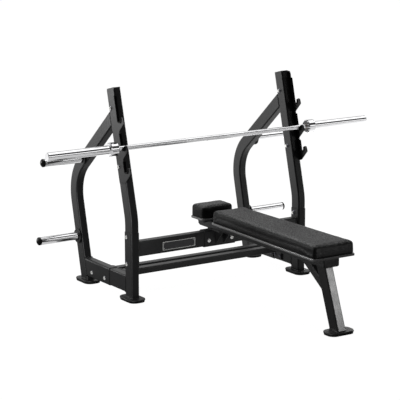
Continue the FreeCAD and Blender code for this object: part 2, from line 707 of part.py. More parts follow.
def make_bar():
    shoulder = collar_in - 2
    face = bar_half - end_cap_lip
    end = bar_half - end_cap_t - 6
    groove = end - 12
    shaft = bar_round(bar_r, -shoulder, shoulder)
    shaft = shaft.fuse(bar_round(journal_r, -end, end)).removeSplitter()
    rings = []
    for side in (-1, 1):
        a, b = sorted((side * groove, side * (groove + ring_w)))
        root = journal_r - ring_depth
        shaft = shaft.cut(bar_round(journal_r + 5, a, b).cut(bar_round(root, a - 1, b + 1)))
        ring = bar_round(journal_r + 2.2, a + 0.1, b - 0.1).cut(bar_round(root + 0.1, a, b))
        gap = box(a - 1, b + 1, bar_y - 2.5, bar_y + 2.5, bar_z - 30, bar_z)
        rings.append(ring.cut(gap))
    save("bar_shaft", shaft)
    save("snap_rings", group(rings))

    outer = bar_round(sleeve_r, collar_in, face)
    lip = [e for e in outer.Edges if e.BoundBox.XMin > face - 0.01]
    outer = outer.makeChamfer(sleeve_bevel, lip)
    collar = bar_round(collar_r, collar_in, collar_in + collar_w)
    rims = [e for e in collar.Edges if e.BoundBox.XLength < 0.01]
    collar = collar.makeChamfer(collar_bevel, rims)
    body = outer.fuse(collar).removeSplitter().cut(bar_round(bore_r, collar_in - 1, bar_half + 1))
    save("bar_sleeve_right", body)
    save("bar_sleeve_left", mirrored(body))
    bushes = []
    for x0 in (collar_in, groove - bush_len - 0.5):
        bore = bar_round(journal_r + running, x0 - 1, x0 + bush_len + 1)
        bushes.append(bar_round(bore_r, x0, x0 + bush_len).cut(bore))
    save("sleeve_bushes_right", group(bushes))
    save("sleeve_bushes_left", mirrored(group(bushes)))
    cap = bar_round(bore_r, face - end_cap_t, face).fuse(bar_round(sleeve_r - 4, face, bar_half))
    cap = cap.removeSplitter()
    save("sleeve_end_cap_right", cap)
    save("sleeve_end_cap_left", mirrored(cap))


os.makedirs("parts", exist_ok=True)
make_feet()
make_posts()
make_uprights()
make_hooks()
make_struts()
make_rails()
plate_screws = make_crossbars()
make_side_bolts()
make_pegs()
make_saddle()
make_beam()
make_leg()
pad_screws = make_pads()
save("small_screws", group(plate_screws + pad_screws))
make_bar()
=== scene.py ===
"""Looks of the olympic bench press: finishes, stuffed pads, weld beads and small hardware.

Metres, +Z up, the floor at z = 0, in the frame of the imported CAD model. X runs along the bar
and the foot end of the bench is towards -Y. Every place is worked out from the CAD nodes.
"""

import json
import math

import bpy
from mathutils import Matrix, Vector, noise

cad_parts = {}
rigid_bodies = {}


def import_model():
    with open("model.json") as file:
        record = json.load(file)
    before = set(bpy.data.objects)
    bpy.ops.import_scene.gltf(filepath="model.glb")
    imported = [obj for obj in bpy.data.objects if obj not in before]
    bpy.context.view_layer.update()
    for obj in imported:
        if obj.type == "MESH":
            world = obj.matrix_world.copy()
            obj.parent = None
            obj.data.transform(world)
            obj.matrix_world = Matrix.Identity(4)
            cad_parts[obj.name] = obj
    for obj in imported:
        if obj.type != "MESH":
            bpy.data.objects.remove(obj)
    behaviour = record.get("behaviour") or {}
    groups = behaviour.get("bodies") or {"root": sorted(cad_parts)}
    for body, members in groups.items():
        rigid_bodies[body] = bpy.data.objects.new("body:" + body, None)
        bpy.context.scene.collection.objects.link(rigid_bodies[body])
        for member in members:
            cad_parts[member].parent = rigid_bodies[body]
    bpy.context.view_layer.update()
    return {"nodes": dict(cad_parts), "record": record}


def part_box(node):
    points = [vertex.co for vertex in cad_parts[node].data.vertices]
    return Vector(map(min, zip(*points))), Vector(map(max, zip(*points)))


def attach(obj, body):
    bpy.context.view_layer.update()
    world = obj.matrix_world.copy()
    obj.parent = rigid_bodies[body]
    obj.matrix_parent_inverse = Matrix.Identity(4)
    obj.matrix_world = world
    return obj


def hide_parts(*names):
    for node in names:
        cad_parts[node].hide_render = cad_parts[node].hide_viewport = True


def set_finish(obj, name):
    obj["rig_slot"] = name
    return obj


MM = 0.001
RIGHT = Vector((1, 0, 0))
REAR = Vector((0, 1, 0))
FRONT = Vector((0, -1, 0))
UP = Vector((0, 0, 1))

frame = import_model()
nodes = frame["nodes"]
scene = bpy.context.scene


def middle(node):
    """The centre of a node's box."""
    low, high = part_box(node)
    return (low + high) / 2


def half_width(node, y, near):
    """Half the width of a node that is symmetric about x = 0, measured near a place along Y."""
    return max(v.co.x for v in nodes[node].data.vertices if abs(v.co.y - y) < near)


# ==== materials ===========================================================================
TURNING_MARKS = (1400.0, 6.0, 6.0)  # how fine the grain of turned metal is along X, Y and Z


def grey(level):
    """A colour without hue."""
    return (level, level, level)


def set_stops(ramp, stops):
    """Give a colour ramp its (position, colour) stops."""
    elements = ramp.color_ramp.elements
    while len(elements) < len(stops):
        elements.new(0.5)
    for element, (position, colour) in zip(elements, stops):
        element.position = position
        element.color = (*colour, 1.0)


class Look:
    """A principled material being put together from nodes, in object coordinates."""

    def __init__(self, name, **values):
        self.material = bpy.data.materials.new(name)
        self.material.use_nodes = True
        self.tree = self.material.node_tree
        self.shader = self.tree.nodes["Principled BSDF"]
        self.place = self.node("ShaderNodeTexCoord").outputs["Object"]
        for socket, value in values.items():
            self.shader.inputs[socket.replace("_", " ")].default_value = value

    def node(self, kind, **settings):
        """A new shader node with some of its settings."""
        made = self.tree.nodes.new(kind)
        for key, value in settings.items():
            setattr(made, key, value)
        return made

    def link(self, source, target):
        self.tree.links.new(source, target)

    def stretched(self, factors):
        """The place with each axis scaled, for grain that runs one way."""
        mapping = self.node("ShaderNodeMapping")
        self.link(self.place, mapping.inputs["Vector"])
        mapping.inputs["Scale"].default_value = factors
        return mapping.outputs["Vector"]

    def noise(self, scale, detail=3.0, roughness=0.5, place=None):
        made = self.node("ShaderNodeTexNoise")
        self.link(place or self.place, made.inputs["Vector"])
        made.inputs["Scale"].default_value = scale
        made.inputs["Detail"].default_value = detail
        made.inputs["Roughness"].default_value = roughness
        return made.outputs["Fac"]

    def cells(self, scale, feature="F1"):
        made = self.node("ShaderNodeTexVoronoi", feature=feature)
        self.link(self.place, made.inputs["Vector"])
        made.inputs["Scale"].default_value = scale
        return made.outputs["Distance"]

    def math(self, operation, a, b=None):
        """One sum on sockets or numbers."""
        made = self.node("ShaderNodeMath", operation=operation)
        for socket, value in zip(made.inputs, (a, b)):
            if value is None:
                continue
            if isinstance(value, (int, float)):
                socket.default_value = value
            else:
                self.link(value, socket)
        return made.outputs[0]

    def spread(self, value, low, high, start=0.0, end=1.0):
        """Map value from low..high to start..end, clamped."""
        made = self.node("ShaderNodeMapRange")
        self.link(value, made.inputs["Value"])
        for socket, number in (("From Min", low), ("From Max", high), ("To Min", start), ("To Max", end)):
            made.inputs[socket].default_value = number
        return made.outputs["Result"]

    def blend(self, a, share_a, b, share_b):
        """Two patterns added, each with its share."""
        return self.math("ADD", self.math("MULTIPLY", a, share_a), self.math("MULTIPLY", b, share_b))

    def ramp(self, value, stops):
        """A colour for each value, between (position, colour) stops."""
        made = self.node("ShaderNodeValToRGB")
        self.link(value, made.inputs["Fac"])
        set_stops(made, stops)
        return made.outputs["Color"]

    def mix(self, factor, a, b):
        """Colour a at factor 0 and colour b at factor 1."""
        made = self.node("ShaderNodeMix", data_type="RGBA")
        self.link(factor, made.inputs["Factor"])
        for socket, value in ((made.inputs[6], a), (made.inputs[7], b)):
            if isinstance(value, tuple):
                socket.default_value = (*value, 1.0)
            else:
                self.link(value, socket)
        return made.outputs[2]

    def bump(self, height, strength, distance, under=None):
        made = self.node("ShaderNodeBump")
        self.link(height, made.inputs["Height"])
        made.inputs["Strength"].default_value = strength
        made.inputs["Distance"].default_value = distance
        if under is not None:
            self.link(under, made.inputs["Normal"])
        return made.outputs["Normal"]

    def edges(self, radius):
        """1 near sharp edges, 0 on flat faces."""
        soft = self.node("ShaderNodeBevel", samples=4)
        soft.inputs["Radius"].default_value = radius
        plain = self.node("ShaderNodeNewGeometry").outputs["Normal"]
        dot = self.node("ShaderNodeVectorMath", operation="DOT_PRODUCT")
        self.link(soft.outputs["Normal"], dot.inputs[0])
        self.link(plain, dot.inputs[1])
        return self.spread(self.math("SUBTRACT", 1.0, dot.outputs["Value"]), 0.02, 0.25)

    def finish(self, colour, roughness, normal):
        """Plug the patterns into the shader and hand over the material."""
        for name, source in (("Base Color", colour), ("Roughness", roughness), ("Normal", normal)):
            self.link(source, self.shader.inputs[name])
        return self.material


def powder_coat(name, dark, light, worn):
    """Satin powder coat with a fine orange peel, faint clouds and scuffed edges."""
    look = Look(name, Specular_IOR_Level=0.5)
    clouds = look.noise(7.0, 4.0)
    speckle = look.noise(1500.0, 1.0)
    tone = look.blend(clouds, 0.7, speckle, 0.3)
    colour = look.ramp(tone, [(0.3, dark), (0.7, light)])
    patchy = look.spread(look.noise(60.0, 5.0, 0.7), 0.52, 0.66)
    colour = look.mix(look.math("MULTIPLY", look.edges(1.6 * MM), patchy), colour, worn)
    rough = look.spread(look.noise(22.0, 5.0, 0.6), 0.3, 0.7, 0.36, 0.43)
    peel = look.bump(look.noise(900.0, 2.0), 0.25, 0.12 * MM)
    return look.finish(colour, rough, peel)


def polished(name, dark, light, rough_low, rough_high):
    """Bright metal with fine turning marks and cloudy polish."""
    look = Look(name, Metallic=1.0)
    rings = look.noise(1.0, 2.0, 0.5, look.stretched(TURNING_MARKS))
    clouds = look.noise(14.0, 4.0, 0.6)
    tone = look.blend(clouds, 0.6, rings, 0.4)
    colour = look.ramp(tone, [(0.3, dark), (0.7, light)])
    rough = look.spread(tone, 0.3, 0.7, rough_high, rough_low)
    return look.finish(colour, rough, look.bump(rings, 0.05, 0.01 * MM))


def knurled(name, zones, centre):
    """Bar steel: diamond knurling in the given |x| zones, plain turned metal elsewhere."""
    look = Look(name, Metallic=1.0)
    parts = look.node("ShaderNodeSeparateXYZ")
    look.link(look.place, parts.inputs[0])
    x, y, z = parts.outputs
    angle = look.math("ARCTAN2", look.math("SUBTRACT", z, centre.z), look.math("SUBTRACT", y, centre.y))
    turns = 36.0
    shaft_radius = 14.0 * MM
    pitch = 2 * math.pi * shaft_radius / turns
    lengthwise = look.math("MULTIPLY", x, 2 * math.pi / pitch)
    around = look.math("MULTIPLY", angle, turns)
    ridges = [look.math("SINE", look.math(way, lengthwise, around)) for way in ("ADD", "SUBTRACT")]
    diamonds = look.math("ADD", ridges[0], ridges[1])
    reach = look.math("ABSOLUTE", x)
    fade = 1.5 * MM
    inside = None
    for start, end in zones:
        over = look.spread(reach, start, start + fade)
        under = look.spread(reach, end, end + fade, 1.0, 0.0)
        zone = look.math("MULTIPLY", over, under)
        inside = zone if inside is None else look.math("ADD", inside, zone)
    height = look.math("MULTIPLY", diamonds, inside)
    rings = look.noise(1.0, 2.0, 0.5, look.stretched(TURNING_MARKS))
    clouds = look.noise(9.0, 4.0, 0.6)
    colour = look.ramp(clouds, [(0.3, (0.78, 0.78, 0.79)), (0.7, (0.90, 0.90, 0.91))])
    colour = look.mix(look.math("MULTIPLY", inside, 0.25), colour, (0.55, 0.55, 0.56))
    polish = look.spread(clouds, 0.3, 0.7, 0.16, 0.09)
    rough = look.math("ADD", polish, look.math("MULTIPLY", inside, 0.07))
    normal = look.bump(height, 0.4, 0.06 * MM, look.bump(rings, 0.05, 0.01 * MM))
    return look.finish(colour, rough, normal)


def grained_vinyl(name, dark, light, pale):
    """Upholstery vinyl: pebbled leather grain; the faces that look up are painted paler as painted top
    light, flecked with painted sheen.
    """
    look = Look(name, Specular_IOR_Level=0.22)
    pebbles = look.cells(330.0, "SMOOTH_F1")
    creases = look.cells(150.0, "DISTANCE_TO_EDGE")
    fine = look.noise(900.0, 3.0, 0.6)
    patches = look.noise(120.0, 3.0, 0.65)
    clouds = look.noise(5.0, 3.0)
    sheen_flecks = look.noise(170.0, 1.0)
    height = look.math("ADD", look.math("MULTIPLY", pebbles, -1.0), look.spread(creases, 0.0, 0.12))
    height = look.math("ADD", height, look.math("MULTIPLY", fine, 0.35))
    height = look.math("ADD", height, look.math("MULTIPLY", patches, 1.1))
    tone = look.blend(patches, 0.75, clouds, 0.25)
    # Painted top light: faces that look up get a paler colour than the sides, flecked with paler painted
    # sheen.
    facing = look.node("ShaderNodeSeparateXYZ")
    look.link(look.node("ShaderNodeNewGeometry").outputs["Normal"], facing.inputs[0])
    top_light_share = look.spread(facing.outputs[2], 0.4, 0.95)
    top = look.ramp(sheen_flecks, [(0.44, light), (0.62, pale)])
    colour = look.mix(top_light_share, look.ramp(tone, [(0.38, dark), (0.62, light)]), top)
    rough = look.spread(patches, 0.35, 0.65, 0.36, 0.6)
    return look.finish(colour, rough, look.bump(height, 0.55, 0.35 * MM))


def moulded(name, dark, light, rough_low, rough_high, grain, depth, shine=0.3):
    """Moulded rubber or plastic with a spark-eroded grain and handling marks."""
    look = Look(name, Specular_IOR_Level=shine)
    marks = look.noise(30.0, 5.0, 0.65)
    sparks = look.noise(grain, 2.0)
    colour = look.ramp(marks, [(0.35, dark), (0.65, light)])
    rough = look.spread(marks, 0.35, 0.65, rough_low, rough_high)
    return look.finish(colour, rough, look.bump(sparks, 0.4, depth))


def plated(name, dark, light, rough):
    """Zinc plated or bare small hardware."""
    look = Look(name, Metallic=1.0)
    spangle = look.cells(700.0)
    film = look.noise(180.0, 3.0)
    tone = look.blend(spangle, 0.5, film, 0.6)
    colour = look.ramp(tone, [(0.25, dark), (0.7, light)])
    duller = look.spread(tone, 0.25, 0.7, rough + 0.1, rough)
    return look.finish(colour, duller, look.bump(film, 0.15, 0.05 * MM))


# The knurled stretches of the bar, as distances from its middle.
GRIP_ZONES = [(0.0, 60 * MM), (200 * MM, 405 * MM), (411 * MM, 600 * MM)]
BLACK = (0.005, 0.0051, 0.0054)
CHARCOAL = (0.009, 0.0091, 0.0095)
LIGHT_CHARCOAL = (0.014, 0.0141, 0.0146)
LOOKS = {
    "frame_paint": powder_coat("charcoal_coat", CHARCOAL, LIGHT_CHARCOAL, grey(0.10)),
    "hook_paint": powder_coat("hook_coat", BLACK, CHARCOAL, grey(0.14)),
    "flange_black": powder_coat("flange_coat", grey(0.004), grey(0.007), grey(0.10)),
    "chrome": polished("polished_chrome", (0.84, 0.84, 0.85), (0.93, 0.93, 0.94), 0.05, 0.11),
    "chrome_cap": polished("chrome_end", (0.80, 0.80, 0.81), (0.90, 0.90, 0.91), 0.10, 0.2),
    "bar_steel": knurled("knurled_steel", GRIP_ZONES, middle("bar_shaft")),
    "spring_steel": plated("blued_spring_steel", (0.10, 0.10, 0.13), (0.22, 0.22, 0.26), 0.3),
    "zinc": plated("bright_zinc", (0.62, 0.62, 0.60), (0.86, 0.86, 0.84), 0.18),
    "bronze": plated("sintered_bronze", (0.34, 0.20, 0.09), (0.50, 0.31, 0.15), 0.35),
    "plate_satin": polished("satin_plate", (0.10, 0.10, 0.105), (0.16, 0.16, 0.165), 0.3, 0.45),
    "liner_plastic": moulded("wear_plastic", grey(0.004), grey(0.008), 0.35, 0.55, 600.0, 0.06 * MM, 0.15),
    "cap_plastic": moulded("cap_plastic", grey(0.007), grey(0.014), 0.28, 0.45, 900.0, 0.05 * MM),
    "board": moulded("board_cover", grey(0.28), grey(0.36), 0.12, 0.22, 500.0, 0.02 * MM, 1.0),
    "rubber": moulded("foot_rubber", grey(0.010), (0.022, 0.022, 0.021), 0.55, 0.8, 350.0, 0.2 * MM),
    # grey(0.12) is the painted top light and sheen on the upward faces of the pads.
    "vinyl": grained_vinyl("pad_vinyl", grey(0.001), grey(0.006), grey(0.12)),
}
for row in frame["record"]["subparts"]:
    mesh = nodes[row["node"]].data
    mesh.materials.clear()
    mesh.materials.append(LOOKS[row["material_slot"]])


# ==== mesh helpers ========================================================================
def piece(name, verts, faces, slot, body="frame"):
    """A new mesh piece in the frame of the CAD, with its finish, riding on a CAD body."""
    mesh = bpy.data.meshes.new(name)
    mesh.from_pydata([tuple(v) for v in verts], [], faces)
    mesh.validate()
    mesh.shade_smooth()
    mesh.materials.append(LOOKS[slot])
    made = bpy.data.objects.new(name, mesh)
    scene.collection.objects.link(made)
    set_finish(made, slot)
    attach(made, body)
    return made


class Parts:
    """Several shells collected into one mesh piece."""

    def __init__(self):
        self.verts, self.faces = [], []

    def add(self, verts, faces):
        """Take in one more shell."""
        first = len(self.verts)
        self.verts += verts
        self.faces += [tuple(first + i for i in face) for face in faces]

    def made(self, name, slot, body="frame"):
        """The piece made of all shells so far."""
        return piece(name, self.verts, self.faces, slot, body)


def circle(centre, side, other, radius, sides):
    """Points round a centre, in the plane of two unit vectors."""
    points = []
    for i in range(sides):
        angle = 2 * math.pi * i / sides
        points.append(centre + (side * math.cos(angle) + other * math.sin(angle)) * radius)
    return points


def skin(rings, closed):
    """A skin over rings of points in a row, which is closed on itself or has a cap at each end."""
    sides, count = len(rings[0]), len(rings)
    verts = [point for ring in rings for point in ring]
    faces = []
    for ring in range(count if closed else count - 1):
        here, there = ring * sides, (ring + 1) % count * sides
        for i in range(sides):
            j = (i + 1) % sides
            faces.append((here + i, here + j, there + j, there + i))
    if not closed:
        faces.append(tuple(reversed(range(sides))))
        faces.append(tuple(range((count - 1) * sides, count * sides)))
    return verts, faces


def lathe(profile, origin, axis, sides=32, closed=False):
    """Turn (radius, height) points round an axis through origin; a closed profile makes a ring."""
    axis = Vector(axis).normalized()
    side = axis.orthogonal().normalized()
    other = axis.cross(side)
    rings = [circle(origin + axis * height, side, other, radius, sides) for radius, height in profile]
    return skin(rings, closed)


def washer(origin, axis, inner, outer, thick):
    """A flat ring with a chamfered rim."""
    rim = thick * 0.3
    profile = [(inner, 0), (outer, 0), (outer, thick - rim), (outer - rim, thick), (inner, thick)]
    return lathe(profile, origin, axis, closed=True)


def rod(a, b, radius):
    """A thin wire with tapered ends."""
    axis = b - a
    tip = radius * 0.5
    profile = [(tip, 0.0), (radius, radius), (radius, axis.length - radius), (tip, axis.length)]
    return lathe(profile, a, axis, 8)


def weld(points, radius, closed=True):
    """A weld bead along points: a rope with overlapping scallops."""
    sides, step, ripple = 8, 1.0 * MM, 3.2 * MM
    line = [Vector(p) for p in points]
    if closed:
        line.append(line[0])
    marks, travelled = [], 0.0
    for a, b in zip(line, line[1:]):
        length, along = (b - a).length, (b - a).normalized()
        count = max(1, round(length / step))
        for i in range(count):
            marks.append((a.lerp(b, i / count), along, travelled + length * i / count))
        travelled += length
    if not closed:
        marks.append((line[-1], marks[-1][1], travelled))
    rings = []
    for point, along, distance in marks:
        upright = abs(along.z) > 0.9
        side = (along.orthogonal() if upright else along.cross(UP)).normalized()
        swell = radius * (0.84 + 0.16 * abs(math.cos(math.pi * distance / ripple)))
        swell *= 1 + 0.08 * noise.noise(point * 90)
        rings.append(circle(point, side, along.cross(side), swell, sides))
    return skin(rings, closed)


def rounded_loop(width, height, radius):
    """Points (u, v) of a rounded rectangle about the origin."""
    steps = 5
    points = []
    for number, (su, sv) in enumerate(((1, 1), (-1, 1), (-1, -1), (1, -1))):
        for i in range(steps + 1):
            angle = math.pi / 2 * (number + i / steps)
            u = su * (width / 2 - radius) + radius * math.cos(angle)
            v = sv * (height / 2 - radius) + radius * math.sin(angle)
            points.append((u, v))
    return points


def loop_at(centre, across, up, width, height, radius):
    """A rounded rectangle in the plane of the vectors across and up."""
    return [centre + across * u + up * v for u, v in rounded_loop(width, height, radius)]


# ==== stuffed pads ========================================================================
def copied(node, name):
    """A new object with a copy of a node's mesh."""
    made = bpy.data.objects.new(name, nodes[node].data.copy())
    scene.collection.objects.link(made)
    return made


def applied(target):
    """Turn the modifiers of an object into its mesh."""
    graph = bpy.context.evaluated_depsgraph_get()
    mesh = bpy.data.meshes.new_from_object(target.evaluated_get(graph), depsgraph=graph)
    target.modifiers.clear()
    target.data = mesh


def blown_up(pad):
    """Let the cover swell as cloth under pressure; its vertex group "held" stays in place."""
    last_frame = 20
    cloth = pad.modifiers.new("cloth", "CLOTH")
    cloth.settings.quality = 6
    cloth.settings.mass = 0.4
    cloth.settings.tension_stiffness = 25
    cloth.settings.compression_stiffness = 25
    cloth.settings.bending_stiffness = 8.0
    cloth.settings.use_pressure = True
    cloth.settings.uniform_pressure_force = 4.0
    cloth.settings.effector_weights.gravity = 0.0
    cloth.settings.vertex_group_mass = "held"
    cloth.collision_settings.use_collision = False
    cloth.point_cache.frame_start = 1
    cloth.point_cache.frame_end = last_frame
    for number in range(1, last_frame + 1):
        scene.frame_set(number)
    applied(pad)
    scene.frame_set(1)


def stuffed(node, voxel, cap):
    """The CAD cushion as a cover: made a little smaller, remeshed and blown up by at most cap."""
    low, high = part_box(node)
    centre = middle(node)
    pad = copied(node, node + "_cover")
    shrink = 2.5 * MM
    scale = [(size - 2 * shrink) / size for size in (high - low)]
    for v in pad.data.vertices:
        v.co.x = centre.x + (v.co.x - centre.x) * scale[0]
        v.co.y = centre.y + (v.co.y - centre.y) * scale[1]
        v.co.z = low.z + (v.co.z - low.z) * scale[2]
    remesh = pad.modifiers.new("remesh", "REMESH")
    remesh.mode = "VOXEL"
    remesh.voxel_size = voxel
    remesh.use_smooth_shade = True
    applied(pad)
    held = pad.vertex_groups.new(name="held")
    hem = low.z + 6 * MM
    held.add([v.index for v in pad.data.vertices if v.co.z < hem], 1.0, "REPLACE")
    rest = [v.co.copy() for v in pad.data.vertices]
    blown_up(pad)
    for v, start in zip(pad.data.vertices, rest):
        move = v.co - start
        if move.length > cap:
            v.co = start + move.normalized() * cap
    pad.vertex_groups.clear()
    return pad


def crown(pad, node, rise):
    """Lift the middle of the top a little and make the cover slightly uneven."""
    low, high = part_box(node)
    half_x, half_y = (high.x - low.x) / 2, (high.y - low.y) / 2
    centre = middle(node)
    for v in pad.data.vertices:
        u = (v.co.x - centre.x) / half_x
        w = (v.co.y - centre.y) / half_y
        share = max(0.0, (v.co.z - low.z) / (high.z - low.z))
        lift = max(0.0, 1 - u ** 4) * max(0.0, 1 - w ** 8)
        v.co.z += rise * lift * share ** 3
        v.co += UP * 0.35 * MM * noise.noise(v.co * 14) * share
        v.co += RIGHT * 0.5 * MM * noise.noise(v.co * 9 + Vector((5, 3, 1))) * share


def corner_seams(pad, node):
    """A sewn corner seam down each upright corner, sunk a little into the cover."""
    low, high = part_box(node)
    inset, reach, depth = 6.0 * MM, 5.5 * MM, 1.3 * MM
    corners = []
    for y, end in ((low.y, -1), (high.y, 1)):
        half = half_width(node, y - end * 25 * MM, 30 * MM)
        for side in (-1, 1):
            corners.append((side, end, side * (half - inset), y - end * inset))
    seam_top = high.z - 14 * MM
    for v in pad.data.vertices:
        if v.co.z > seam_top:
            continue
        for side, end, x, y in corners:
            away = math.hypot(v.co.x - x, v.co.y - y)
            sink = depth * math.exp(-((away / reach) ** 2))
            if sink > 0.02 * MM:
                v.co -= Vector((side * sink, end * sink, 0)) * 0.7


def finished_pad(node, voxel, cap, rise):
    """A stuffed vinyl cover in place of a CAD cushion."""
    pad = stuffed(node, voxel, cap)
    crown(pad, node, rise)
    corner_seams(pad, node)
    smooth = pad.modifiers.new("smooth", "SUBSURF")
    smooth.levels = 1
    smooth.render_levels = 1
    pad.data.materials.clear()
    pad.data.materials.append(LOOKS["vinyl"])
    pad.data.shade_smooth()
    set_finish(pad, "vinyl")
    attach(pad, "frame")
    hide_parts(node)


finished_pad("main_pad", voxel=5 * MM, cap=2.6 * MM, rise=2.5 * MM)
finished_pad("head_pad", voxel=4 * MM, cap=2.0 * MM, rise=2.0 * MM)


# ==== details =============================================================================
def on_plane(node, point, normal):
    """The points of a node that lie on a plane through a point, as steps from that point."""
    near = 0.8 * MM
    steps = [v.co - point for v in nodes[node].data.vertices]
    return [step for step in steps if abs(step.dot(normal)) < near]


def tube_end(node, point, normal):
    """The outline of a tube where it meets the plane through a point."""
    corner_radius = 7 * MM
    across = RIGHT if abs(normal.x) < 0.5 else REAR
    up = normal.cross(across)
    spots = on_plane(node, point, normal)
    along_u = [spot.dot(across) for spot in spots]
    along_v = [spot.dot(up) for spot in spots]
    width, height = max(along_u) - min(along_u), max(along_v) - min(along_v)
    centre = point + across * (min(along_u) + width / 2) + up * (min(along_v) + height / 2)
    return loop_at(centre, across, up, width, height, corner_radius)


def face_point(node, normal, low=-1.0, high=2.0):
    """The point furthest along a direction, among the points of a node between two heights."""
    spots = [v.co for v in nodes[node].data.vertices if low < v.co.z < high]
    return max(spots, key=lambda spot: spot.dot(normal)).copy()


def tilted(angle):
    """The direction of the rear face of a tube that leans to the rear by an angle."""
    return Vector((0, math.cos(math.radians(angle)), -math.sin(math.radians(angle))))


def frame_welds():
    """A bead round every welded tube end, and along both sides of the saddle under the beam."""
    beads = Parts()
    bead = 3.4 * MM

    def at_end(tube, point, normal):
        beads.add(*weld(tube_end(tube, point, normal), bead))

    floor_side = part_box("foot_plate_leg")[1].z * UP
    beam_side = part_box("bench_beam")[0].z * UP
    for tube in ("front_post_left", "front_post_right", "rear_strut_left", "rear_strut_right", "bench_leg"):
        at_end(tube, floor_side, UP)
    for tube in ("bench_leg", "leg_brace"):
        at_end(tube, beam_side, UP)
    leg_rear = tilted(20.8)
    at_end("leg_brace", face_point("bench_leg", leg_rear), leg_rear)
    upright_rear = tilted(14.5)
    strut_front = -tilted(13.5)
    for number, side in enumerate(("left", "right")):
        strut = "rear_strut_" + side
        at_end(strut, face_point("upright_" + side, upright_rear, 0.75), upright_rear)
        at_end("rear_rail_" + side, face_point(strut, strut_front, -1.0, 0.4), strut_front)
        stub = "rail_stub_" + side
        at_end(stub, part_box(stub)[0], REAR)
        for bar in ("upper_crossbar", "lower_crossbar_front", "lower_crossbar_rear"):
            at_end(bar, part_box(bar)[number], RIGHT)
    beam_low, beam_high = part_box("bench_beam")
    shelf_low, shelf_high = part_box("saddle_bracket")
    for x in (beam_low.x, beam_high.x):
        ends = [(x, y, beam_low.z) for y in (shelf_low.y + 6 * MM, shelf_high.y - 6 * MM)]
        beads.add(*weld(ends, bead, closed=False))
    beads.made("weld_beads", "frame_paint")


def corner(points, pick):
    """The lowest or the highest value of the points along each axis."""
    return Vector([pick(point[i] for point in points) for i in range(3)])


def touching(one, other):
    """Whether the boxes of two shells touch, within a small gap."""
    gap = 0.1 * MM
    return all(
        one["low"][i] <= other["high"][i] + gap and one["high"][i] >= other["low"][i] - gap
        for i in range(3)
    )


def merged(groups):
    """Join point groups whose boxes touch, so that one solid is one shell."""
    joined = []
    for points in groups:
        shell = {"points": points, "low": corner(points, min), "high": corner(points, max)}
        for other in joined:
            if touching(shell, other):
                other["points"] += points
                other["low"] = corner((shell["low"], other["low"]), min)
                other["high"] = corner((shell["high"], other["high"]), max)
                break
        else:
            joined.append(shell)
    return joined


def shells(node):
    """The separate solids of a node, each as its points with their lowest and highest corner."""
    mesh = nodes[node].data
    group = list(range(len(mesh.vertices)))

    def root(i):
        while group[i] != i:
            group[i] = group[group[i]]
            i = group[i]
        return i

    for edge in mesh.edges:
        a, b = root(edge.vertices[0]), root(edge.vertices[1])
        group[a] = b
    found = {}
    for v in mesh.vertices:
        found.setdefault(root(v.index), []).append(v.co.copy())
    return merged(found.values())


def outward(x):
    """The direction along the bar that leads away from the middle."""
    return Vector((math.copysign(1, x), 0, 0))


def washers():
    """A plain washer under every bolt head and every nut."""
    rings = Parts()
    for node in ("post_sleeve_bolts", "rail_bolts", "hook_plate_bolts", "peg_bolts", "saddle_bolts"):
        for bolt in shells(node):
            centre = (bolt["low"] + bolt["high"]) / 2
            axis = FRONT if node == "saddle_bolts" else outward(centre.x)
            reach = []
            for point in bolt["points"]:
                height = (point - centre).dot(axis)
                reach.append((height, (point - centre - axis * height).length))
            widest = max(radius for _, radius in reach)
            under = min(height for height, radius in reach if radius > 0.97 * widest)
            seat = centre + axis * under
            rings.add(*washer(seat, axis, inner=10.2 * MM, outer=12.8 * MM, thick=1.4 * MM))
    for nut in shells("frame_nuts"):
        centre = (nut["low"] + nut["high"]) / 2
        half = (nut["high"] - nut["low"]) / 2
        on_saddle = abs(centre.x) < 0.3
        axis, depth = (REAR, half.y) if on_saddle else (outward(-centre.x), half.x)
        seat = centre - axis * depth
        rings.add(*washer(seat, axis, inner=8.6 * MM, outer=13.0 * MM, thick=1.6 * MM))
    rings.made("plain_washers", "spring_steel")


def flat_ring(outer, inner, rise):
    """A flat closed band between two loops of equal count, raised by a vector."""
    count = len(outer)
    verts = list(outer) + list(inner)
    verts += [v + rise for v in verts]
    faces = []
    for i in range(count):
        j = (i + 1) % count
        faces.append((i, j, count + j, count + i))
        faces.append((2 * count + i, 3 * count + i, 3 * count + j, 2 * count + j))
        faces.append((i, 2 * count + i, 2 * count + j, j))
        faces.append((count + i, count + j, 3 * count + j, 3 * count + i))
    return verts, faces


def name_plate_trim():
    """A thin bright border and four drive rivets on the blank plate."""
    low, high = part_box("name_plate")
    centre = middle("name_plate")
    centre.y = low.y
    width, height = high.x - low.x, high.z - low.z
    trim = Parts()
    outer = loop_at(centre, RIGHT, UP, width - 6 * MM, height - 6 * MM, 1.8 * MM)
    inner = loop_at(centre, RIGHT, UP, width - 11 * MM, height - 11 * MM, 0.8 * MM)
    trim.add(*flat_ring(outer, inner, FRONT * 0.5 * MM))
    dome = [(2.4 * MM, -0.2 * MM), (2.2 * MM, 0.3 * MM), (1.4 * MM, 0.9 * MM), (0.1 * MM, 1.2 * MM)]
    for x in (low.x + 12 * MM, high.x - 12 * MM):
        for z in (low.z + 12 * MM, high.z - 12 * MM):
            trim.add(*lathe(dome, Vector((x, low.y, z)), FRONT, 20))
    trim.made("name_plate_trim", "zinc")


def board_corners(node, inset):
    """The corners of a tapered board, moved inwards, on its underside."""
    low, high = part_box(node)
    front, rear = [half_width(node, y, 35 * MM) - inset for y in (low.y, high.y)]
    y_front, y_rear = low.y + inset, high.y - inset
    spots = ((-front, y_front), (front, y_front), (rear, y_rear), (-rear, y_rear))
    return [Vector((x, y, low.z)) for x, y in spots]


